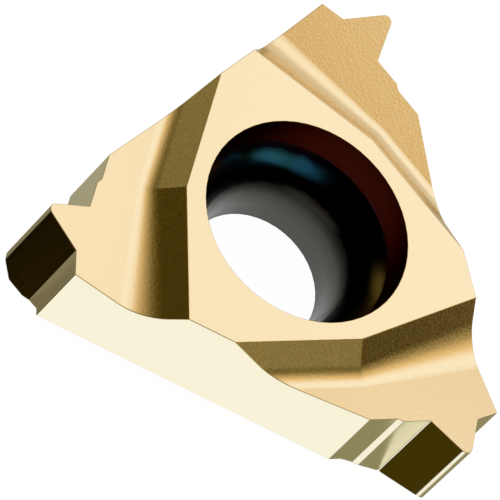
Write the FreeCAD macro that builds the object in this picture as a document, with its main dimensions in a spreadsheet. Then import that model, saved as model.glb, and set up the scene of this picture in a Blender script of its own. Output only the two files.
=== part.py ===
"""Threading insert: a three-cornered carbide cutting insert for outside metric threads.

One solid. The long sides are ground on an inscribed circle, each corner carries one
full-profile thread tooth, and a pressed chip groove lies between each tooth and the raised
middle. A screw clamps the insert through the hole, which widens upwards for its head.

Frame: millimetres, +Z up. The origin lies on the hole's axis in the bottom face. At the
first corner the thread's axis runs along X, the tooth points along +Y and the side that
seats in the holder faces -X. The other two corners are turned 120 degrees about Z.
"""
import FreeCAD, Part
import math
import os

import Sketcher

# Driving dimensions: millimetres and degrees
SIZES = {
    "inscribed_circle": 9.525,
    "thickness": 3.67,
    # Thread tooth
    "pitch": 1.75,
    "flank_angle": 60.0,
    "tooth_offset": 1.468,
    "profile_setback": 2.28,
    "tip_radius": 0.2,
    "notch_radius": 0.06,
    "heel_angle": 15.0,
    "step_offset": 3.08,
    "step_depth": 0.1,
    "step_ramp": 0.18,
    # Chip groove
    "rake_angle": 13.0,
    "edge_drop": 0.43,
    "groove_width": 2.345,
    "ridge_offset": 3.99,
    "wall_angle": 45.0,
    "heel_turn": 16.4,
    "front_radius": 0.7,
    "heel_radius": 1.5,
    # Pressed edge round the bottom
    "relief_height": 0.62,
    "relief_angle": 45.0,
    "land_width": 0.2,
    # Screw hole
    "mouth_diameter": 6.21,
    "collar_diameter": 6.02,
    "collar_depth": 1.08,
    "throat_diameter": 4.06,
    "throat_height": 0.67,
    # How far the cutting outlines run past the solid
    "overrun": 1.0,
}
CORNERS = 3
NODE = "insert_body"
# Each cut takes away at least this volume, in cubic millimetres
LEAST_CUT = 0.1

# Places along X and Y at the first corner, worked out from the sizes
HALF = "sizes.inscribed_circle / 2"
CORNER_Y = "sizes.inscribed_circle * sqrt(3) / 2"
LEFT_X = f"-{HALF} - sizes.overrun"
RIGHT_X = f"{HALF} + sizes.overrun"
TOP_Y = f"{CORNER_Y} + sizes.overrun"
TOOTH_X = f"sizes.tooth_offset - {HALF}"
CREST_Y = f"{CORNER_Y} - sizes.profile_setback"
STEP_X = f"sizes.step_offset - {HALF}"
RIDGE_X = f"sizes.ridge_offset - {HALF}"
RIDGE_Y = f"{CREST_Y} - sizes.groove_width"

# Heights
EDGE_Z = "sizes.thickness - sizes.edge_drop"
COLLAR_Z = "sizes.thickness - sizes.collar_depth"
TOP_Z = "sizes.thickness + sizes.overrun"

# Width at the tooth's foot, from the metric thread's profile
NOTCH_GAP = "sizes.pitch * 7 / 8"

# Slopes: height over distance
RAKE_SLOPE = "tan(sizes.rake_angle * 1 deg)"
WALL_SLOPE = "tan(sizes.wall_angle * 1 deg)"

# The heel wall's top line, carried on to the outlines' overrun beside the insert
HEEL_REACH = "sizes.ridge_offset + sizes.overrun"
HEEL_Y = f"{RIDGE_Y} - ({HEEL_REACH}) * tan(sizes.heel_turn * 1 deg)"
HEEL_GROWTH = "(sizes.heel_radius - sizes.front_radius) / sizes.ridge_offset"
HEEL_END_RADIUS = f"sizes.front_radius + ({HEEL_REACH}) * {HEEL_GROWTH}"


def make_sheet(doc):
    """Put the driving dimensions in the spreadsheet, one named cell each."""
    sheet = doc.addObject("Spreadsheet::Sheet", "sizes")
    for row, (alias, size) in enumerate(SIZES.items(), start=1):
        sheet.set(f"A{row}", alias)
        sheet.set(f"B{row}", str(size))
        sheet.setAlias(f"B{row}", alias)
    doc.recompute()
    return sheet


def number(sheet, formula):
    """Work out a formula of the sheet's cells as a plain number."""
    result = sheet.evalExpression(formula)
    return float(getattr(result, "Value", result))


def origin_feature(body, role):
    """Find one of the body's own origin planes or axes by its role."""
    return next(item for item in body.Origin.OriginFeatures if item.Role == role)


class Outline:
    """A closed sketch on an origin plane, with its dimensions bound to the sheet."""

    def __init__(self, body, sheet, name, role):
        self.sheet = sheet
        self.sketch = body.newObject("Sketcher::SketchObject", name)
        self.sketch.AttachmentSupport = [(origin_feature(body, role), "")]
        self.sketch.MapMode = "FlatFace"

    def point(self, x, y):
        """A point of the sketch at two formulas."""
        return FreeCAD.Vector(number(self.sheet, x), number(self.sheet, y), 0)

    def rule(self, *terms):
        """Add one constraint and give back its index."""
        return self.sketch.addConstraint(Sketcher.Constraint(*terms))

    def size(self, name, formula, *terms):
        """Add a dimension, name it and bind it to its formula."""
        index = self.rule(*terms, number(self.sheet, formula))
        self.sketch.renameConstraint(index, name)
        self.sketch.setExpression(f"Constraints.{name}", formula)

    def slant(self, name, formula, line):
        """Set a line's angle from the sketch's X, in degrees."""
        index = self.rule("Angle", line, math.radians(number(self.sheet, formula)))
        self.sketch.renameConstraint(index, name)
        self.sketch.setExpression(f"Constraints.{name}", f"({formula}) * 1 deg")

    def pin(self, name, geometry, end, x, y):
        """Hold one point of the geometry at two formulas."""
        self.size(f"{name}_x", x, "DistanceX", -1, 1, geometry, end)
        self.size(f"{name}_y", y, "DistanceY", -1, 1, geometry, end)

    def loop(self, corners, radii=()):
        """Join corners by lines into a closed loop, round those that have a radius.

        Line number k runs from corner k to the next. Radii are (corner, name, formula).
        A rounded corner keeps a construction point where its two lines would meet.
        Returns the lines and the construction points, the latter by corner number.
        """
        count = len(corners)
        ways = [(corners[(k + 1) % count] - corners[k]).normalize() for k in range(count)]
        trims = [0.0] * count
        for k, name, formula in radii:
            half_turn = ways[k - 1].getAngle(ways[k]) / 2
            trims[k] = number(self.sheet, formula) * math.tan(half_turn)
        starts = [corners[k] + ways[k] * trims[k] for k in range(count)]
        ends = [corners[k] - ways[k - 1] * trims[k] for k in range(count)]
        lines = [
            self.sketch.addGeometry(Part.LineSegment(starts[k], ends[(k + 1) % count]))
            for k in range(count)
        ]
        meets = {}
        for k, name, formula in radii:
            arc, meets[k] = self.round_corner(lines[k - 1], lines[k], ends[k], corners[k], starts[k])
            self.size(name, formula, "Radius", arc)
        for k in range(count):
            if k not in meets:
                self.rule("Coincident", lines[k - 1], 2, lines[k], 1)
        return lines, meets

    def round_corner(self, before, after, start, corner, end):
        """Put an arc between two lines, and a point where the lines would meet."""
        way_in = corner - start
        way_out = end - corner
        left_turn = way_in.cross(way_out).z > 0
        square = FreeCAD.Vector(-way_in.y, way_in.x, 0).normalize()
        side = 1 if left_turn else -1
        radius = way_in.Length / math.tan(way_in.getAngle(way_out) / 2)
        centre = start + square * side * radius
        # An arc runs anticlockwise, so at a right turn it starts where the corner ends
        first, last = (start, end) if left_turn else (end, start)
        angles = [math.atan2(place.y - centre.y, place.x - centre.x) for place in (first, last)]
        circle = Part.Circle(centre, FreeCAD.Vector(0, 0, 1), radius)
        arc = self.sketch.addGeometry(Part.ArcOfCircle(circle, *angles))
        arc_in, arc_out = (1, 2) if left_turn else (2, 1)
        self.rule("Tangent", before, 2, arc, arc_in)
        self.rule("Tangent", arc, arc_out, after, 1)
        meet = self.sketch.addGeometry(Part.Point(corner), True)
        self.rule("PointOnObject", meet, 1, before)
        self.rule("PointOnObject", meet, 1, after)
        return arc, meet


def blank_outline(body, sheet):
    """Equal-sided triangle whose inscribed circle gives the insert its size."""
    outline = Outline(body, sheet, "blank_outline", "XY_Plane")
    corners = [
        outline.point(f"-{HALF}", CORNER_Y),
        outline.point("sizes.inscribed_circle", "0"),
        outline.point(f"-{HALF}", f"-{CORNER_Y}"),
    ]
    sides, _ = outline.loop(corners)
    ring = Part.Circle(FreeCAD.Vector(), FreeCAD.Vector(0, 0, 1), number(sheet, HALF))
    circle = outline.sketch.addGeometry(ring, True)
    outline.rule("Coincident", circle, 3, -1, 1)
    outline.size("inscribed_radius", HALF, "Radius", circle)
    for side in sides:
        outline.rule("Tangent", side, circle)
    outline.rule("Vertical", sides[2])
    outline.rule("Equal", sides[0], sides[1])
    outline.rule("Equal", sides[1], sides[2])
    return outline.sketch


def relief_outline(body, sheet):
    """Section of the slope and narrow land that the press leaves along a long side."""
    outline = Outline(body, sheet, "relief_outline", "XZ_Plane")
    land_x = f"sizes.land_width - {HALF}"
    foot_x = f"{land_x} + sizes.relief_height / tan(sizes.relief_angle * 1 deg)"
    corners = [
        outline.point(land_x, "sizes.relief_height"),
        outline.point(foot_x, "0"),
        outline.point(LEFT_X, "0"),
        outline.point(LEFT_X, "sizes.relief_height"),
    ]
    (slope, bottom, outside, land), _ = outline.loop(corners)
    outline.pin("land", slope, 1, land_x, "sizes.relief_height")
    outline.slant("relief_angle", "-sizes.relief_angle", slope)
    outline.rule("PointOnObject", slope, 2, -1)
    outline.rule("Horizontal", bottom)
    outline.rule("Vertical", outside)
    outline.rule("Horizontal", land)
    outline.size("outside_x", LEFT_X, "DistanceX", -1, 1, outside, 1)
    return outline.sketch


def groove_section(body, sheet, name, place, turn, wall_turn, radius):
    """Section of the chip groove: wall, rounded foot and rake face.

    The section stands upright at the place (x, y) where the wall's top line starts. Its
    plane is turned about Z from the YZ plane, and the wall turns away from that plane.
    """
    x, y = place
    outline = Outline(body, sheet, name, "YZ_Plane")
    offset = FreeCAD.Rotation(FreeCAD.Vector(0, 1, 0), number(sheet, turn))
    outline.sketch.AttachmentOffset = FreeCAD.Placement(outline.point(y, "0"), offset)
    outline.sketch.setExpression("AttachmentOffset.Base.x", y)
    outline.sketch.setExpression("AttachmentOffset.Base.z", x)
    outline.sketch.setExpression("AttachmentOffset.Rotation.Angle", f"({turn}) * 1 deg")
    wall_slope = f"{WALL_SLOPE} * cos({wall_turn} * 1 deg)"
    rake_slope = f"{RAKE_SLOPE} * cos({turn} * 1 deg)"
    # Height of the rake face if it ran on to below the wall's top line
    rake_z = f"{EDGE_Z} - ({CREST_Y} - ({y})) * {RAKE_SLOPE}"
    foot = f"(sizes.thickness - ({rake_z})) / ({wall_slope} + {rake_slope})"
    lid_x = f"-sizes.overrun / ({wall_slope})"
    outside_x = f"({TOP_Y} - ({y})) / cos({turn} * 1 deg)"
    corners = [
        outline.point(lid_x, TOP_Z),
        outline.point(foot, f"sizes.thickness - {foot} * {wall_slope}"),
        outline.point(outside_x, f"{rake_z} + {outside_x} * {rake_slope}"),
        outline.point(outside_x, TOP_Z),
    ]
    (wall, rake, outside, lid), _ = outline.loop(corners, [(1, "foot_radius", radius)])
    for name, height, line in (("ridge", "sizes.thickness", wall), ("rake", rake_z, rake)):
        mark = outline.sketch.addGeometry(Part.Point(outline.point("0", height)), True)
        outline.rule("PointOnObject", mark, 1, -2)
        outline.size(f"{name}_z", height, "DistanceY", -1, 1, mark, 1)
        outline.rule("PointOnObject", mark, 1, line)
    outline.slant("wall_angle", f"-atan({wall_slope}) / 1 deg", wall)
    outline.slant("rake_angle", f"atan({rake_slope}) / 1 deg", rake)
    outline.rule("Vertical", outside)
    outline.rule("Horizontal", lid)
    outline.pin("outer_lid", lid, 1, outside_x, TOP_Z)
    return outline.sketch


def groove_sections(body, sheet):
    """The groove's three sections: beyond the heel, at the ridge and beyond the front.

    The wall turns at the ridge, whose section halves the turn. From there to the heel the
    groove's foot grows rounder.
    """
    half_turn = "sizes.heel_turn / 2"
    heel = groove_section(
        body, sheet, "heel_section", (LEFT_X, HEEL_Y), "0", "sizes.heel_turn", HEEL_END_RADIUS
    )
    ridge = groove_section(
        body, sheet, "ridge_section", (RIDGE_X, RIDGE_Y), half_turn, half_turn, "sizes.front_radius"
    )
    front = groove_section(
        body, sheet, "front_section", (RIGHT_X, RIDGE_Y), "0", "0", "sizes.front_radius"
    )
    return heel, ridge, front


def tooth_outline(body, sheet):
    """Ground profile of a corner: heel, tooth, crest edge and the step behind it."""
    outline = Outline(body, sheet, "tooth_outline", "XY_Plane")
    heel_foot = f"({TOOTH_X} - {NOTCH_GAP} / 2 - ({LEFT_X})) * tan(sizes.heel_angle * 1 deg)"
    apex_rise = f"{NOTCH_GAP} / 2 / tan(sizes.flank_angle * 0.5 deg)"
    corners = [
        outline.point(LEFT_X, TOP_Y),
        outline.point(LEFT_X, f"{CREST_Y} - {heel_foot}"),
        outline.point(f"{TOOTH_X} - {NOTCH_GAP} / 2", CREST_Y),
        outline.point(TOOTH_X, f"{CREST_Y} + {apex_rise}"),
        outline.point(f"{TOOTH_X} + {NOTCH_GAP} / 2", CREST_Y),
        outline.point(STEP_X, CREST_Y),
        outline.point(f"{STEP_X} + sizes.step_ramp", f"{CREST_Y} - sizes.step_depth"),
        outline.point(HALF, f"{CREST_Y} - sizes.step_depth"),
        outline.point(HALF, TOP_Y),
    ]
    radii = [
        (2, "heel_notch", "sizes.notch_radius"),
        (3, "tip_radius", "sizes.tip_radius"),
        (4, "crest_notch", "sizes.notch_radius"),
    ]
    lines, meets = outline.loop(corners, radii)
    left, heel, heel_flank, crest_flank, crest, ramp, step, right, top = lines
    outline.rule("Vertical", left)
    outline.slant("heel_angle", "sizes.heel_angle", heel)
    outline.slant("heel_flank_angle", "90 - sizes.flank_angle / 2", heel_flank)
    outline.slant("crest_flank_angle", "sizes.flank_angle / 2 - 90", crest_flank)
    outline.pin("heel_corner", meets[2], 1, f"{TOOTH_X} - {NOTCH_GAP} / 2", CREST_Y)
    outline.pin("crest_corner", meets[4], 1, f"{TOOTH_X} + {NOTCH_GAP} / 2", CREST_Y)
    outline.rule("Horizontal", crest)
    outline.size("step_start", STEP_X, "DistanceX", -1, 1, ramp, 1)
    outline.size("step_ramp", "sizes.step_ramp", "DistanceX", ramp, 1, ramp, 2)
    outline.size("step_depth", "sizes.step_depth", "DistanceY", ramp, 2, ramp, 1)
    outline.rule("Horizontal", step)
    outline.rule("Vertical", right)
    outline.rule("Horizontal", top)
    outline.pin("top_left", left, 1, LEFT_X, TOP_Y)
    outline.size("right_x", HALF, "DistanceX", -1, 1, right, 1)
    return outline.sketch


def hole_outline(body, sheet):
    """Half section of the screw hole: throat, flared seat for the head and collar."""
    outline = Outline(body, sheet, "hole_outline", "XZ_Plane")
    throat = "sizes.throat_diameter / 2"
    collar = "sizes.collar_diameter / 2"
    mouth = "sizes.mouth_diameter / 2"
    places = [
        ("0", "0"),
        (throat, "0"),
        (throat, "sizes.throat_height"),
        (collar, COLLAR_Z),
        (mouth, "sizes.thickness"),
        (mouth, TOP_Z),
        ("0", TOP_Z),
    ]
    points = [outline.point(x, y) for x, y in places]
    # The seat's arc leaves the throat upright and curves out to the collar
    flare = points[3].x - points[2].x
    climb = points[3].y - points[2].y
    radius = (flare ** 2 + climb ** 2) / (2 * flare)
    centre = FreeCAD.Vector(points[2].x + radius, points[2].y, 0)
    top_angle = math.atan2(climb, flare - radius)
    circle = Part.Circle(centre, FreeCAD.Vector(0, 0, 1), radius)
    add = outline.sketch.addGeometry
    base = add(Part.LineSegment(points[0], points[1]))
    bore = add(Part.LineSegment(points[1], points[2]))
    seat = add(Part.ArcOfCircle(circle, top_angle, math.pi))
    wall = add(Part.LineSegment(points[3], points[4]))
    rise = add(Part.LineSegment(points[4], points[5]))
    lid = add(Part.LineSegment(points[5], points[6]))
    axis = add(Part.LineSegment(points[6], points[0]))
    outline.rule("Coincident", base, 2, bore, 1)
    outline.rule("Tangent", bore, 2, seat, 2)
    outline.rule("Coincident", seat, 1, wall, 1)
    outline.rule("Coincident", wall, 2, rise, 1)
    outline.rule("Coincident", rise, 2, lid, 1)
    outline.rule("Coincident", lid, 2, axis, 1)
    outline.rule("Coincident", axis, 2, base, 1)
    outline.rule("Coincident", base, 1, -1, 1)
    outline.rule("Horizontal", base)
    outline.rule("Vertical", bore)
    outline.rule("Vertical", rise)
    outline.rule("Horizontal", lid)
    outline.rule("Vertical", axis)
    outline.pin("throat", bore, 2, throat, "sizes.throat_height")
    outline.pin("collar", wall, 1, collar, COLLAR_Z)
    outline.pin("mouth", wall, 2, mouth, "sizes.thickness")
    outline.size("lid_z", TOP_Z, "DistanceY", -1, 1, lid, 1)
    return outline.sketch


def cut_through(body, name, sketch):
    """Cut a sketch through the whole body, both ways from its plane."""
    pocket = body.newObject("PartDesign::Pocket", name)
    pocket.Profile = sketch
    pocket.SideType = "Symmetric"
    pocket.Type = "ThroughAll"
    return pocket


def pattern_corners(body, doc, name, features):
    """Repeat cut features at the other corners, about the hole's axis."""
    pattern = body.newObject("PartDesign::PolarPattern", name)
    pattern.Originals = features
    pattern.Axis = (origin_feature(body, "Z_Axis"), [""])
    pattern.Angle = 360
    pattern.Occurrences = CORNERS
    body.Tip = pattern
    doc.recompute()
    return pattern


def build_insert(doc, sheet):
    """Press the blank, then grind its sides and its three tooth profiles."""
    body = doc.addObject("PartDesign::Body", NODE)
    blank = body.newObject("PartDesign::Pad", "blank")
    blank.Profile = blank_outline(body, sheet)
    blank.setExpression("Length", "sizes.thickness")
    doc.recompute()

    relief = cut_through(body, "relief", relief_outline(body, sheet))
    groove = body.newObject("PartDesign::SubtractiveLoft", "groove")
    heel, ridge, front = groove_sections(body, sheet)
    groove.Profile = heel
    groove.Sections = [ridge, front]
    groove.Ruled = True
    tooth = cut_through(body, "tooth", tooth_outline(body, sheet))
    doc.recompute()
    pattern_corners(body, doc, "corners", [relief, groove, tooth])

    hole = body.newObject("PartDesign::Groove", "screw_hole")
    hole.Profile = hole_outline(body, sheet)
    hole.ReferenceAxis = (hole.Profile[0], ["V_Axis"])
    hole.Angle = 360
    doc.recompute()
    return body


def check(doc, bodies):
    """Stop if any object failed, a sub-part is not one sound solid or a cut took nothing."""
    for item in doc.Objects:
        if {"Invalid", "Error"} & set(item.State):
            raise RuntimeError(f"{item.Name} failed: {item.State}")
    for body in bodies:
        shape = body.Shape
        if shape.isNull() or not shape.isValid() or len(shape.Solids) != 1:
            raise RuntimeError(f"{body.Label} is not one sound solid")
        steps = [item for item in body.Group if item.isDerivedFrom("PartDesign::Feature")]
        for before, cut in zip(steps, steps[1:]):
            taken = before.Shape.Volume - cut.Shape.Volume
            print(cut.Name, "takes away", round(taken, 3), "mm3")
            if taken < LEAST_CUT:
                raise RuntimeError(f"{cut.Name} cuts nothing")


def main():
    doc = FreeCAD.newDocument("threading_insert")
    sheet = make_sheet(doc)
    bodies = [build_insert(doc, sheet)]
    doc.recompute()
    check(doc, bodies)
    os.makedirs("parts", exist_ok=True)
    for body in bodies:
        body.Shape.exportStep(f"parts/{body.Label}.step")
        print(body.Label, "volume", round(body.Shape.Volume, 3), "mm3")


main()
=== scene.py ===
"""The looks of a triangular threading insert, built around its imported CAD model.

The insert is one piece of sintered tungsten carbide under a gold-coloured hard coating. Its
top is as pressed and fine-grained, its sides and teeth are ground, and the coating thins out
inside the screw hole, where it turns brown and violet and then leaves the carbide bare.
"""

import logging
import math
from dataclasses import dataclass, field
from enum import Enum
from typing import Any, Sequence

import bmesh
import bpy
from mathutils import Matrix, Vector


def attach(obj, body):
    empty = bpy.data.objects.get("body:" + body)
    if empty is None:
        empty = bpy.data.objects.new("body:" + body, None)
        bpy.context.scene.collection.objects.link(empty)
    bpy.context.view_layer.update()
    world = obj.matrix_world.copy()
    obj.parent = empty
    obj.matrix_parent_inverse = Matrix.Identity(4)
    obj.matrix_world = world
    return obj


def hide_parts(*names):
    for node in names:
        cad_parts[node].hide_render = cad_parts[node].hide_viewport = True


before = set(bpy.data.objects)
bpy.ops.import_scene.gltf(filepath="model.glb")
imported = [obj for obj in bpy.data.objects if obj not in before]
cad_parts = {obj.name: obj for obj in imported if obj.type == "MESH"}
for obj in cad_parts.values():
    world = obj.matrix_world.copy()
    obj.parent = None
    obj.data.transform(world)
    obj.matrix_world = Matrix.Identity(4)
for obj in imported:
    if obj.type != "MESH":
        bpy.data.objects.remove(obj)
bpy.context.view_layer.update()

LOG = logging.getLogger("threading_insert")
MM = 0.001
THICKNESS = 3.67 * MM

Colour = tuple[float, float, float, float]


def linear(hex_colour: str) -> Colour:
    """Turns an sRGB hex colour to linear values.

    Args:
        hex_colour: Six hex digits, such as "FDE7C4".

    Returns:
        Red, green, blue and an alpha of 1.
    """
    parts = [int(hex_colour[i : i + 2], 16) / 255 for i in (0, 2, 4)]
    red, green, blue = (
        p / 12.92 if p <= 0.04045 else ((p + 0.055) / 1.055) ** 2.4 for p in parts
    )
    return red, green, blue, 1.0


def add_node(
    tree: bpy.types.NodeTree,
    kind: str,
    settings: dict[str, Any] | None = None,
    **inputs: Any,
) -> bpy.types.Node:
    """Adds a node with its settings, socket values and links.

    Args:
        tree: The node tree that gets the node.
        kind: The node's type, such as "ShaderNodeBump".
        settings: Properties of the node itself, by name.
        **inputs: Each input socket by its name, with _ for a blank, or as i0, i1 by its
            place. A value is written to the socket, and an output socket is linked to it.

    Returns:
        The new node.
    """
    node = tree.nodes.new(kind)
    for name, value in (settings or {}).items():
        setattr(node, name, value)
    for name, value in inputs.items():
        if name[0] == "i" and name[1:].isdigit():
            socket = node.inputs[int(name[1:])]
        else:
            socket = node.inputs[name.replace("_", " ")]
        if isinstance(value, bpy.types.NodeSocket):
            tree.links.new(value, socket)
        else:
            socket.default_value = value
    return node


def add_ramp(
    tree: bpy.types.NodeTree,
    along: bpy.types.NodeSocket,
    stops: Sequence[tuple[float, str | float]],
) -> bpy.types.NodeSocket:
    """Adds a colour ramp.

    Args:
        tree: The node tree that gets the ramp.
        along: The value that runs along the ramp.
        stops: Each stop's position with its hex colour or its plain value, in order.

    Returns:
        The ramp's colour.
    """
    node = add_node(tree, "ShaderNodeValToRGB", Fac=along)
    ends = node.color_ramp.elements
    while len(ends) < len(stops):
        ends.new(0.5)
    for end, (position, value) in zip(ends, stops):
        end.position = position
        end.color = linear(value) if isinstance(value, str) else (value, value, value, 1.0)
    return node.outputs["Color"]


def add_range(
    tree: bpy.types.NodeTree,
    value: bpy.types.NodeSocket,
    across: tuple[float, float],
    ends: tuple[Any, Any] = (0.0, 1.0),
    soft: bool = False,
) -> bpy.types.NodeSocket:
    """Adds a value that runs from one end to another while a value crosses a range.

    Args:
        tree: The node tree that gets the node.
        value: The value that crosses the range.
        across: Where the range starts and ends.
        ends: The new value at the start and at the end, numbers or sockets. It is kept beyond.
        soft: True for a gentle start and end.

    Returns:
        The new value.
    """
    node = add_node(
        tree,
        "ShaderNodeMapRange",
        {"interpolation_type": "SMOOTHSTEP" if soft else "LINEAR"},
        Value=value,
        From_Min=across[0],
        From_Max=across[1],
        To_Min=ends[0],
        To_Max=ends[1],
    )
    return node.outputs["Result"]


def add_mix(
    tree: bpy.types.NodeTree,
    share: bpy.types.NodeSocket,
    under: Colour | bpy.types.NodeSocket,
    over: Colour | bpy.types.NodeSocket,
) -> bpy.types.NodeSocket:
    """Lays one colour over another.

    Args:
        tree: The node tree that gets the mix.
        share: How much of the upper colour shows, from 0 to 1.
        under: The lower colour.
        over: The upper colour.

    Returns:
        The mixed colour.
    """
    node = add_node(
        tree, "ShaderNodeMix", {"data_type": "RGBA"}, i0=share, i6=under, i7=over
    )
    return node.outputs[2]


def add_reach(
    tree: bpy.types.NodeTree, place: bpy.types.NodeSocket, towards: Vector
) -> bpy.types.NodeSocket:
    """Adds how far a place lies along a direction.

    Args:
        tree: The node tree that gets the node.
        place: The place.
        towards: The direction, of length 1.

    Returns:
        The distance along the direction.
    """
    node = add_node(
        tree, "ShaderNodeVectorMath", {"operation": "DOT_PRODUCT"}, i0=place, i1=towards
    )
    return node.outputs["Value"]


def direction(azimuth: float, elevation: float) -> Vector:
    """Gives the unit vector of a direction.

    Args:
        azimuth: Degrees from +X towards +Y.
        elevation: Degrees above the floor.

    Returns:
        The vector that points that way.
    """
    turn, rise = math.radians(azimuth), math.radians(elevation)
    return Vector(
        (math.cos(turn) * math.cos(rise), math.sin(turn) * math.cos(rise), math.sin(rise))
    )


def new_material(name: str) -> tuple[bpy.types.Material, bpy.types.NodeTree]:
    """Makes an empty material with an output node.

    Args:
        name: The material's name.

    Returns:
        The material and its cleared node tree.
    """
    made = bpy.data.materials.new(name)
    made.use_nodes = True
    made.node_tree.nodes.clear()
    return made, made.node_tree


def add_object(
    name: str, form: bmesh.types.BMesh, materials: Sequence[bpy.types.Material]
) -> bpy.types.Object:
    """Turns a finished form to an object in the scene.

    Args:
        name: The name of the object and its mesh.
        form: The form, which is used up.
        materials: Its materials, in the order of the faces' material numbers.

    Returns:
        The object.
    """
    mesh = bpy.data.meshes.new(name)
    form.to_mesh(mesh)
    form.free()
    for material in materials:
        mesh.materials.append(material)
    made = bpy.data.objects.new(name, mesh)
    bpy.context.scene.collection.objects.link(made)
    return made


def show_in_reflections_only(stage_piece: bpy.types.Object) -> None:
    """Hides a stage piece from all but glossy rays, and lets it cast no shadow.

    Args:
        stage_piece: The piece of the stage.
    """
    stage_piece.visible_camera = False
    stage_piece.visible_diffuse = False
    stage_piece.visible_transmission = False
    stage_piece.visible_volume_scatter = False
    stage_piece.visible_shadow = False


@dataclass(frozen=True)
class PressedCoating:
    """Hard gold coating on sintered carbide as it left the press and the furnace.

    The grains under the thin coating give a fine, soft, satin mottle. It is a little rougher
    on the steep walls, where the punch slid along the powder. The base colour also darkens in
    the grain's low spots as painted shade, more on the walls. How far a face looks upwards
    tells the flats from the walls. The pit and gloss levels are heights in the grain, from 0
    to 1: the painted shade deepens from the first pit level to the second, and the roughness
    goes from its first value to its second between the gloss levels.
    """

    colour: str = "FFEECA"
    roughness: tuple[float, float] = (0.198, 0.242)
    grain: float = 0.075 * MM
    grain_height: float = 0.004 * MM
    wall_grain_height: float = 0.007 * MM
    # Painted shade in the grain's low spots, on the flats and on the walls.
    pit_shade: float = 0.02
    wall_pit_shade: float = 0.17
    flat_to_wall: tuple[float, float] = (0.97, 0.85)
    pit_levels: tuple[float, float] = (0.6, 0.4)
    gloss_levels: tuple[float, float] = (0.3, 0.7)

    def material(self) -> bpy.types.Material:
        """Makes the satin gold of the top face and its grooves.

        Returns:
            The material.
        """
        made, tree = new_material("pressed_gold_coating")
        place = add_node(tree, "ShaderNodeTexCoord").outputs["Object"]
        # The real carbide grains are near 0.002 mm, so the mottle stands for clumps of them.
        grain = add_node(
            tree,
            "ShaderNodeTexNoise",
            Vector=place,
            Scale=1 / self.grain,
            Detail=3.0,
            Roughness=0.6,
        ).outputs["Fac"]
        facing = add_node(tree, "ShaderNodeNewGeometry").outputs["Normal"]
        upright = add_node(tree, "ShaderNodeSeparateXYZ", Vector=facing).outputs["Z"]
        heights = (self.grain_height, self.wall_grain_height)
        height = add_range(tree, upright, self.flat_to_wall, heights)
        bump = add_node(tree, "ShaderNodeBump", Strength=1.0, Distance=height, Height=grain)
        # Painted shade: the base colour darkens in the grain's low spots, more on the steep
        # walls.
        shades = (self.pit_shade, self.wall_pit_shade)
        shade = add_range(tree, upright, self.flat_to_wall, shades)
        painted_pit_shade = add_range(tree, grain, self.pit_levels, (0.0, shade))
        shader = add_node(
            tree,
            "ShaderNodeBsdfPrincipled",
            Base_Color=add_mix(tree, painted_pit_shade, linear(self.colour), linear("000000")),
            Metallic=1.0,
            Roughness=add_range(tree, grain, self.gloss_levels, self.roughness),
            Normal=bump.outputs["Normal"],
        )
        add_node(tree, "ShaderNodeOutputMaterial", Surface=shader.outputs["BSDF"])
        return made


@dataclass(frozen=True)
class GroundCoating:
    """Hard gold coating over carbide that a fine diamond wheel has ground.

    The ground faces are smoother than the pressed ones and look paler in the photograph, so
    their colour is paler too. The extra paleness is painted highlight, for the washed-out
    glare on the bright ground faces.
    """

    # Paler than the pressed gold, in part as painted highlight.
    colour: str = "FAF4D9"
    roughness: float = 0.16
    line: float = 0.07 * MM
    line_length: float = 2.0 * MM
    line_depth: float = 0.0025 * MM

    def material(self) -> bpy.types.Material:
        """Makes the pale, smooth gold of the sides, the teeth and the bottom.

        Returns:
            The material.
        """
        made, tree = new_material("ground_gold_coating")
        place = add_node(tree, "ShaderNodeTexCoord").outputs["Object"]
        # Grinding lines are near 0.005 mm apart. They are drawn upright and far coarser, at
        # two pixels, so that they show.
        across = 1 / self.line
        stretched = add_node(
            tree,
            "ShaderNodeMapping",
            Vector=place,
            Scale=(across, across, 1 / self.line_length),
        )
        lines = add_node(
            tree, "ShaderNodeTexNoise", Vector=stretched.outputs["Vector"], Scale=1.0, Detail=2.0
        )
        bump = add_node(
            tree,
            "ShaderNodeBump",
            Strength=1.0,
            Distance=self.line_depth,
            Height=lines.outputs["Fac"],
        )
        shader = add_node(
            tree,
            "ShaderNodeBsdfPrincipled",
            Base_Color=linear(self.colour),
            Metallic=1.0,
            Roughness=self.roughness,
            Normal=bump.outputs["Normal"],
        )
        add_node(tree, "ShaderNodeOutputMaterial", Surface=shader.outputs["BSDF"])
        return made


@dataclass(frozen=True)
class FilmAndGlintArc:
    """A part of the seat's round with its own tints.

    The bare arc is where the carbide shows a little higher. The blue and olive arcs are painted
    glints, bright tints where the wall mirrors light. The arc starts to show where a place lies
    that far along its direction, and is full from there on. Both distances are shares of the
    seat's radius.
    """

    azimuth: float
    start: float
    full: float
    tints: tuple[tuple[float, str], ...]


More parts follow.
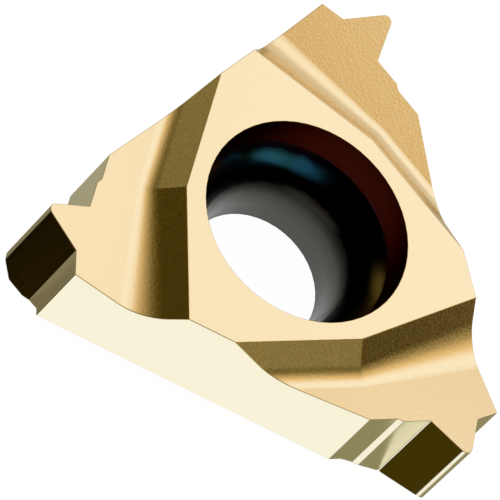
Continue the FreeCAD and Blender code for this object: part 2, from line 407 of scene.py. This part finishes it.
@dataclass(frozen=True)
class HoleCoating:
    """The same coating where it runs out inside the screw hole.

    It thins with depth, so it turns from dark brown through violet and dark teal interference
    colours to near black. On one side of the seat a painted glint makes the teal film bright
    blue, and on the other side a painted olive glint brightens the wall below the collar. The
    last part of the wall is bare carbide, a dull dark grey, which reaches a little higher on
    one side.

    Heights along the colour stops are shares of the insert's thickness. The glance stops say
    how much of its brightness at a glancing angle the wall keeps. The colours were set under
    the light tent, from the part of the wall that the photograph shows. The rest is a guess.
    """

    depth: float = THICKNESS
    seat_radius: float = 3.0 * MM
    mottle: float = 0.6 * MM
    unevenness: float = 0.05
    tints: tuple[tuple[float, str], ...] = (
        (0.00, "525350"),
        (0.33, "4F4E4A"),
        (0.40, "43423D"),
        (0.44, "3A3833"),
        (0.453, "1C1B18"),
        (0.465, "070707"),
        (0.55, "04070A"),
        (0.60, "0A181C"),
        (0.645, "0A181C"),
        (0.68, "10123A"),
        (0.70, "241030"),
        (0.72, "3A1008"),
        (1.00, "3A1008"),
    )
    # Painted glint: an olive sheen on this side of the seat, below the collar.
    olive: FilmAndGlintArc = FilmAndGlintArc(
        azimuth=-70.0,
        start=-0.45,
        full=-0.2,
        tints=((0.60, "141308"), (0.64, "7A7048"), (0.68, "9A8A68"), (0.70, "7A6448")),
    )
    # Painted glint: the teal film drawn bright blue on this side, where the seat mirrors light.
    blue: FilmAndGlintArc = FilmAndGlintArc(
        azimuth=143.0,
        start=0.65,
        full=0.8,
        tints=((0.60, "3C93FF"), (0.645, "3C93FF")),
    )
    bare: FilmAndGlintArc = FilmAndGlintArc(
        azimuth=103.0,
        start=0.65,
        full=0.71,
        tints=((0.40, "504F49"), (0.44, "726F66"), (0.46, "7A776E"), (0.482, "0F0E0C")),
    )
    rough: tuple[tuple[float, float], ...] = (
        (0.00, 0.4),
        (0.42, 0.4),
        (0.50, 0.2),
        (0.70, 0.2),
        (0.72, 0.34),
    )
    glance: tuple[tuple[float, float], ...] = ((0.70, 1.0), (0.72, 0.45))

    def material(self) -> bpy.types.Material:
        """Makes the hole's wall, whose colour follows the height above the bottom face.

        Returns:
            The material.
        """
        made, tree = new_material("thinned_coating_in_hole")
        place = add_node(tree, "ShaderNodeTexCoord").outputs["Object"]
        height = add_node(tree, "ShaderNodeSeparateXYZ", Vector=place).outputs["Z"]
        cloud = add_node(
            tree, "ShaderNodeTexNoise", Vector=place, Scale=1 / self.mottle, Detail=4.0
        )
        lowest = -self.unevenness / 2
        level = add_range(tree, height, (0.0, self.depth), (lowest, lowest + 1))
        uneven = add_node(
            tree,
            "ShaderNodeMath",
            {"operation": "MULTIPLY_ADD"},
            i0=cloud.outputs["Fac"],
            i1=self.unevenness,
            i2=level,
        ).outputs[0]
        tint = add_ramp(tree, uneven, self.tints)
        # The olive and blue arcs lay painted glints over the film's tints. The bare arc lets the
        # carbide show higher.
        for arc in (self.bare, self.olive, self.blue):
            side = add_reach(tree, place, direction(arc.azimuth, 0.0))
            share = add_range(
                tree, side, (arc.start * self.seat_radius, arc.full * self.seat_radius)
            )
            below = [stop for stop in self.tints if stop[0] < arc.tints[0][0]]
            above = [stop for stop in self.tints if stop[0] > arc.tints[-1][0]]
            film = add_ramp(tree, uneven, [*below, *arc.tints, *above])
            tint = add_mix(tree, share, tint, film)
        # Bare carbide is duller than the coating.
        rough = add_ramp(tree, uneven, self.rough)
        # The dark coating on the collar doesn't brighten much at a glancing angle.
        glance = add_ramp(tree, uneven, self.glance)
        shader = add_node(
            tree,
            "ShaderNodeBsdfPrincipled",
            Base_Color=tint,
            Metallic=1.0,
            Roughness=rough,
            Specular_Tint=glance,
        )
        add_node(tree, "ShaderNodeOutputMaterial", Surface=shader.outputs["BSDF"])
        return made


class Zone(Enum):
    """The kinds of surface on the insert, by how each was made."""

    PRESSED = PressedCoating()
    GROUND = GroundCoating()
    HOLE = HoleCoating()


@dataclass(frozen=True)
class ChipGroove:
    """The first corner's pressed chip groove, as a height above the bottom face.

    Its wall slopes down from the raised middle, turns a little at a ridge and runs into the
    rake face through a rounded foot, which opens up towards the heel.
    """

    top: float = THICKNESS
    edge_height: float = 3.24 * MM
    crest_y: float = 5.969 * MM
    ridge_x: float = -0.7725 * MM
    ridge_y: float = 3.624 * MM
    heel_turn: float = math.radians(16.4)
    rake_slope: float = math.tan(math.radians(13.0))
    foot_radius: float = 0.7 * MM
    foot_growth: float = 0.2005
    step: float = 0.001 * MM

    def height(self, x: float, y: float, heel: bool) -> float:
        """Gives the groove's height at a place.

        Args:
            x: Place along the thread.
            y: Place towards the tooth.
            heel: True for the part on the heel's side of the ridge.

        Returns:
            The height above the bottom face.
        """
        beyond = self.ridge_x - x if heel else 0.0
        wall_slope = math.cos(self.heel_turn) if heel else 1.0
        wall_y = self.ridge_y - beyond * math.tan(self.heel_turn)
        radius = self.foot_radius + beyond * self.foot_growth
        fall, climb = math.atan(wall_slope), math.atan(self.rake_slope)
        rise = self.top - self.edge_height + self.crest_y * self.rake_slope
        meet = (rise + wall_slope * wall_y) / (wall_slope + self.rake_slope)
        trim = radius * math.tan((fall + climb) / 2)
        foot_start = meet - trim * math.cos(fall)
        if y <= foot_start:
            return self.top - (y - wall_y) * wall_slope
        if y >= meet + trim * math.cos(climb):
            return self.edge_height - (self.crest_y - y) * self.rake_slope
        centre_y = foot_start + radius * math.sin(fall)
        centre_z = self.top - (foot_start - wall_y) * wall_slope + radius * math.cos(fall)
        return centre_z - math.sqrt(radius**2 - (y - centre_y) ** 2)

    def normal(self, x: float, y: float, heel: bool) -> Vector:
        """Gives the groove's outward direction at a place.

        Args:
            x: Place along the thread.
            y: Place towards the tooth.
            heel: True for the part on the heel's side of the ridge.

        Returns:
            The unit normal.
        """
        along = self.height(x + self.step, y, heel) - self.height(x - self.step, y, heel)
        across = self.height(x, y + self.step, heel) - self.height(x, y - self.step, heel)
        return Vector((-along, -across, 2 * self.step)).normalized()

    def fit(self, places: list[Vector]) -> tuple[float, Matrix, bool]:
        """Finds the corner and the side of the ridge that a face's corners lie on.

        Args:
            places: The face's corners.

        Returns:
            The largest distance from the groove, the turn to the first corner and the side.
        """
        tries = []
        for turn in (Matrix.Rotation(math.radians(a), 3, "Z") for a in (0, 120, 240)):
            turned = [turn @ place for place in places]
            for heel in (True, False):
                gap = max(abs(self.height(p.x, p.y, heel) - p.z) for p in turned)
                tries.append((gap, turn, heel))
        return min(tries, key=lambda found: found[0])


@dataclass
class InsertBody:
    """The insert itself, as a merged copy of its solid with fine edges.

    The facing limits are shares of a face's direction, from 1 for straight inwards or straight
    upwards to -1 for the other way.
    """

    node: str = "insert_body"
    name: str = "coated_insert"
    slot: str = "coated_carbide"
    hole_radius: float = 3.11 * MM
    hole_facing: float = 0.1
    top_facing: float = 0.2
    relief_facing: tuple[float, float] = (-0.99, -0.05)
    groove_facing: tuple[float, float] = (0.1, 0.999)
    edge_radius: float = 0.022 * MM
    edge_segments: int = 2
    sharp_angle: float = math.radians(20)
    flat_angle: float = math.radians(0.2)
    groove: ChipGroove = field(default_factory=ChipGroove)
    merge_distance: float = 0.0002 * MM
    groove_gap: float = 0.02 * MM

    def merged_solid(self) -> bmesh.types.BMesh:
        """Joins the solid's loose triangles and turns the flat ones to whole faces.

        Returns:
            The closed mesh.
        """
        solid = bmesh.new()
        solid.from_mesh(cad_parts[self.node].data)
        bmesh.ops.remove_doubles(solid, verts=solid.verts, dist=self.merge_distance)
        bmesh.ops.dissolve_limit(
            solid, angle_limit=self.flat_angle, verts=solid.verts, edges=solid.edges
        )
        return solid

    def zone_of(self, face: bmesh.types.BMFace) -> Zone:
        """Tells how a face was made from where it is and where it points.

        Args:
            face: A face of the solid.

        Returns:
            The face's zone.
        """
        centre = face.calc_center_median()
        inward = -face.normal.xy.dot(centre.xy.normalized())
        if inward > self.hole_facing and centre.xy.length < self.hole_radius:
            return Zone.HOLE
        flattest, steepest = self.relief_facing
        in_bottom_relief = flattest < face.normal.z < steepest
        if face.normal.z > self.top_facing or in_bottom_relief:
            return Zone.PRESSED
        return Zone.GROUND

    def round_edges(self, solid: bmesh.types.BMesh) -> set[int]:
        """Gives the sharp edges the small radius that honing leaves.

        Args:
            solid: The mesh, which is changed.

        Returns:
            The numbers of the new faces on the edges.
        """
        sharp = [e for e in solid.edges if e.calc_face_angle(0.0) > self.sharp_angle]
        made = bmesh.ops.bevel(
            solid,
            geom=sharp,
            offset=self.edge_radius,
            affect="EDGES",
            segments=self.edge_segments,
            profile=0.5,
            material=-1,
            clamp_overlap=True,
        )
        solid.faces.index_update()
        solid.verts.index_update()
        return {face.index for face in made["faces"]}

    def normals(self, solid: bmesh.types.BMesh, rounded: set[int]) -> list[Vector]:
        """Works out how the surface is shaded, so that flats stay flat and the foot is even.

        A vertex takes its faces' directions by their areas, which leaves the small ones on the
        edges to blend. In the grooves it takes the true shape's direction instead.

        Args:
            solid: The mesh with its rounded edges.
            rounded: The numbers of the faces on the edges.

        Returns:
            One normal for each face corner, in the mesh's order.
        """
        blend = [Vector() for _ in solid.verts]
        for face in solid.faces:
            for vertex in face.verts:
                blend[vertex.index] += face.normal * face.calc_area()
        exact: dict[tuple[int, int], Vector] = {}
        shared: dict[int, Vector] = {}
        steepest, flattest = self.groove_facing
        for face in solid.faces:
            if face.index in rounded or not steepest < face.normal.z < flattest:
                continue
            gap, turn, heel = self.groove.fit([vertex.co for vertex in face.verts])
            if gap > self.groove_gap:
                continue
            for vertex in face.verts:
                place = turn @ vertex.co
                found = turn.transposed() @ self.groove.normal(place.x, place.y, heel)
                exact[face.index, vertex.index] = found
                shared[vertex.index] = found
        normals = []
        for face in solid.faces:
            for vertex in face.verts:
                near = shared.get(vertex.index, blend[vertex.index].normalized())
                normals.append(exact.get((face.index, vertex.index), near))
        return normals

    def build(self) -> bpy.types.Object:
        """Builds the shown piece, dresses it and lets it stand for the CAD node.

        Returns:
            The piece.
        """
        solid = self.merged_solid()
        zones = list(Zone)
        for face in solid.faces:
            face.material_index = zones.index(self.zone_of(face))
            face.smooth = True
        normals = self.normals(solid, self.round_edges(solid))
        piece = add_object(self.name, solid, [zone.value.material() for zone in zones])
        piece.data.normals_split_custom_set(normals)
        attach(piece, "root")
        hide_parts(self.node)
        return piece


@dataclass(frozen=True)
class Card:
    """A soft-edged card of the light tent, as the metal sees it.

    Its colour is full up to the inner angle from its centre and gone at the outer one.
    """

    azimuth: float
    elevation: float
    inner: float
    outer: float
    colour: str


@dataclass
class LightTent:
    """The tan tent round the insert, which only reflections show.

    The insert is bare metal to the eye, so each face looks as bright as the part of the tent
    that it mirrors. Pale cards stand for soft boxes and dark brown ones for flags. Each is
    placed by its azimuth from +X towards +Y and its elevation, in degrees.

    This is no plain studio light. The cards' places, widths and colours were fitted to the
    photograph's one view. The coating's own colours are pale, and the tan fabric and the dark
    cards give the rest of the gold and all of the dark faces.
    """

    name: str = "light_tent"
    radius: float = 80 * MM
    subdivisions: int = 5
    fabric: str = "B0996A"
    cards: tuple[Card, ...] = (
        Card(0, -90, 30, 76, "D2D2CC"),
        Card(-80, 46, 20, 44, "1E1A0C"),
        Card(88, 48, 7, 43, "F7D79D"),
        Card(93, 50, 4, 26, "FFFDF8"),
        Card(77, 33, 3, 15, "FFF8EA"),
        Card(93, 19, 9, 23, "DACEBC"),
        Card(113, 80, 6, 10, "C7A355"),
        Card(-1, 31, 12, 34, "6C6333"),
        Card(-44, 26, 7, 20, "7A7252"),
        Card(12, 12, 10, 26, "3A2F02"),
        Card(-4, 23, 1, 17, "988B5B"),
        Card(-171, 29, 15, 41, "5D501F"),
        Card(-169, 25, 10, 23, "403401"),
        Card(-120, 25, 20, 36, "0E0B04"),
        Card(172, 20, 9, 16, "83784B"),
        Card(26, -50, 15, 36, "8F8A69"),
        Card(148, -50, 8, 30, "A4A18B"),
        Card(-148, -50, 10, 24, "9C9884"),
        Card(178, -50, 4, 18, "746C52"),
        Card(-98, -50, 18, 40, "0F0900"),
        Card(-84, -53, 4, 13, "403300"),
        Card(-41, -50, 8, 19, "FFFFFF"),
    )

    def colour(self, tree: bpy.types.NodeTree) -> bpy.types.NodeSocket:
        """Lays the cards over each other on the tent's plain fabric.

        Args:
            tree: The tent material's node tree.

        Returns:
            The colour in each direction.
        """
        place = add_node(tree, "ShaderNodeTexCoord").outputs["Object"]
        towards = add_node(
            tree, "ShaderNodeVectorMath", {"operation": "NORMALIZE"}, i0=place
        ).outputs["Vector"]
        colour: Colour | bpy.types.NodeSocket = linear(self.fabric)
        for card in self.cards:
            facing = add_reach(tree, towards, direction(card.azimuth, card.elevation))
            rim = math.cos(math.radians(card.outer)), math.cos(math.radians(card.inner))
            cover = add_range(tree, facing, rim, soft=True)
            colour = add_mix(tree, cover, colour, linear(card.colour))
        return colour

    def build(self) -> bpy.types.Object:
        """Builds the tent, seen by reflections and by nothing else.

        Returns:
            The tent.
        """
        made, tree = new_material("tan_tent_with_soft_cards")
        glow = add_node(tree, "ShaderNodeEmission", Color=self.colour(tree), Strength=1.0)
        add_node(tree, "ShaderNodeOutputMaterial", Surface=glow.outputs["Emission"])
        made.cycles.emission_sampling = "NONE"
        shell = bmesh.new()
        bmesh.ops.create_icosphere(shell, subdivisions=self.subdivisions, radius=self.radius)
        tent = add_object(self.name, shell, [made])
        show_in_reflections_only(tent)
        return tent


@dataclass
class FloorUnderHole:
    """The round of white floor below the screw hole, as the hole's wall mirrors it.

    In every other reflection the tent stands for the floor.
    """

    name: str = "floor_under_hole"
    radius: float = 2.0 * MM
    segments: int = 48
    drop: float = 0.05 * MM

    def build(self) -> bpy.types.Object:
        """Builds the disc, which only reflections show.

        Returns:
            The disc.
        """
        made, tree = new_material("white_floor_in_reflection")
        glow = add_node(tree, "ShaderNodeEmission", Color=linear("FFFFFF"), Strength=1.0)
        add_node(tree, "ShaderNodeOutputMaterial", Surface=glow.outputs["Emission"])
        made.cycles.emission_sampling = "NONE"
        sheet = bmesh.new()
        bmesh.ops.create_circle(
            sheet, cap_ends=True, segments=self.segments, radius=self.radius
        )
        disc = add_object(self.name, sheet, [made])
        disc.location = (0.0, 0.0, -self.drop)
        show_in_reflections_only(disc)
        return disc


@dataclass
class Floor:
    """The plain white floor that the insert lies on.

    It lies a hair below the bottom face, so that the two don't show through each other.
    """

    name: str = "floor"
    half_width: float = 3.0
    drop: float = 0.002 * MM
    own_white: float = 0.95
    lit_white: float = 0.8
    seen_lit_white: float = 0.1

    def build(self) -> bpy.types.Object:
        """Builds the floor, which is white to the camera and keeps a faint shadow.

        Returns:
            The floor.
        """
        made, tree = new_material("white_floor_card")
        path = add_node(tree, "ShaderNodeLightPath")
        seen = path.outputs["Is Camera Ray"]
        for kind in ("Is Glossy Ray", "Is Transmission Ray"):
            seen = add_node(
                tree, "ShaderNodeMath", {"operation": "MAXIMUM"}, i0=seen, i1=path.outputs[kind]
            ).outputs[0]
        strength = add_node(
            tree, "ShaderNodeMath", {"operation": "MULTIPLY"}, i0=seen, i1=self.own_white
        )
        glow = add_node(
            tree, "ShaderNodeEmission", Color=linear("FFFFFF"), Strength=strength.outputs[0]
        )
        # The camera sees little of the lit card, so that the shadow stays faint. Light that
        # the card throws back on the insert comes from all of it.
        shade = add_range(tree, seen, (0.0, 1.0), (self.lit_white, self.seen_lit_white))
        matt = add_node(tree, "ShaderNodeBsdfDiffuse", Color=shade)
        both = add_node(
            tree, "ShaderNodeAddShader", i0=glow.outputs["Emission"], i1=matt.outputs["BSDF"]
        )
        add_node(tree, "ShaderNodeOutputMaterial", Surface=both.outputs["Shader"])
        made.cycles.emission_sampling = "NONE"
        sheet = bmesh.new()
        bmesh.ops.create_grid(sheet, x_segments=1, y_segments=1, size=self.half_width)
        floor = add_object(self.name, sheet, [made])
        floor.location = (0.0, 0.0, -self.drop)
        floor.visible_glossy = False
        return floor


@dataclass
class Studio:
    """The world's even light and one soft lamp, which cast the floor's shadow."""

    world_strength: float = 1.0
    lamp_azimuth: float = 88.0
    lamp_elevation: float = 45.0
    lamp_distance: float = 150 * MM
    lamp_size: float = 80 * MM
    lamp_power: float = 0.02

    def build(self) -> bpy.types.Object:
        """Sets the world and hangs the lamp.

        Returns:
            The lamp.
        """
        world = bpy.data.worlds.new("white_studio")
        world.use_nodes = True
        tree = world.node_tree
        tree.nodes.clear()
        even = add_node(
            tree, "ShaderNodeBackground", Color=linear("FFFFFF"), Strength=self.world_strength
        )
        add_node(tree, "ShaderNodeOutputWorld", Surface=even.outputs["Background"])
        bpy.context.scene.world = world
        light = bpy.data.lights.new("soft_lamp", "AREA")
        light.size = self.lamp_size
        light.energy = self.lamp_power
        lamp = bpy.data.objects.new("soft_lamp", light)
        bpy.context.scene.collection.objects.link(lamp)
        away = direction(self.lamp_azimuth, self.lamp_elevation)
        lamp.location = away * self.lamp_distance
        lamp.rotation_euler = away.to_track_quat("Z", "Y").to_euler()
        lamp.visible_glossy = False
        lamp.visible_camera = False
        return lamp


@dataclass
class Viewpoint:
    """The photograph's camera, a long lens above one edge of the insert."""

    location: tuple[float, float, float] = (18.931 * MM, -153.862 * MM, 197.996 * MM)
    angles: tuple[float, float, float] = (29.201, -25.795, 45.129)
    focal_length: float = 647.163
    sensor_width: float = 36.0
    nearest: float = 10 * MM
    farthest: float = 10.0

    def build(self) -> bpy.types.Object:
        """Makes the camera and looks through it.

        Returns:
            The camera.
        """
        lens = bpy.data.cameras.new("photo_camera")
        lens.lens = self.focal_length
        lens.sensor_width = self.sensor_width
        lens.clip_start = self.nearest
        lens.clip_end = self.farthest
        camera = bpy.data.objects.new("photo_camera", lens)
        bpy.context.scene.collection.objects.link(camera)
        camera.location = self.location
        camera.rotation_euler = [math.radians(a) for a in self.angles]
        bpy.context.scene.camera = camera
        return camera


def main() -> None:
    """Builds the studio and the insert."""
    logging.basicConfig(level=logging.INFO, format="%(message)s")
    bpy.context.scene.view_settings.view_transform = "Standard"
    builders = (
        Viewpoint(),
        Studio(),
        Floor(),
        FloorUnderHole(),
        LightTent(),
        InsertBody(),
    )
    for builder in builders:
        made = builder.build()
        LOG.info("built %s", made.name)


if __name__ == "__main__":
    main()
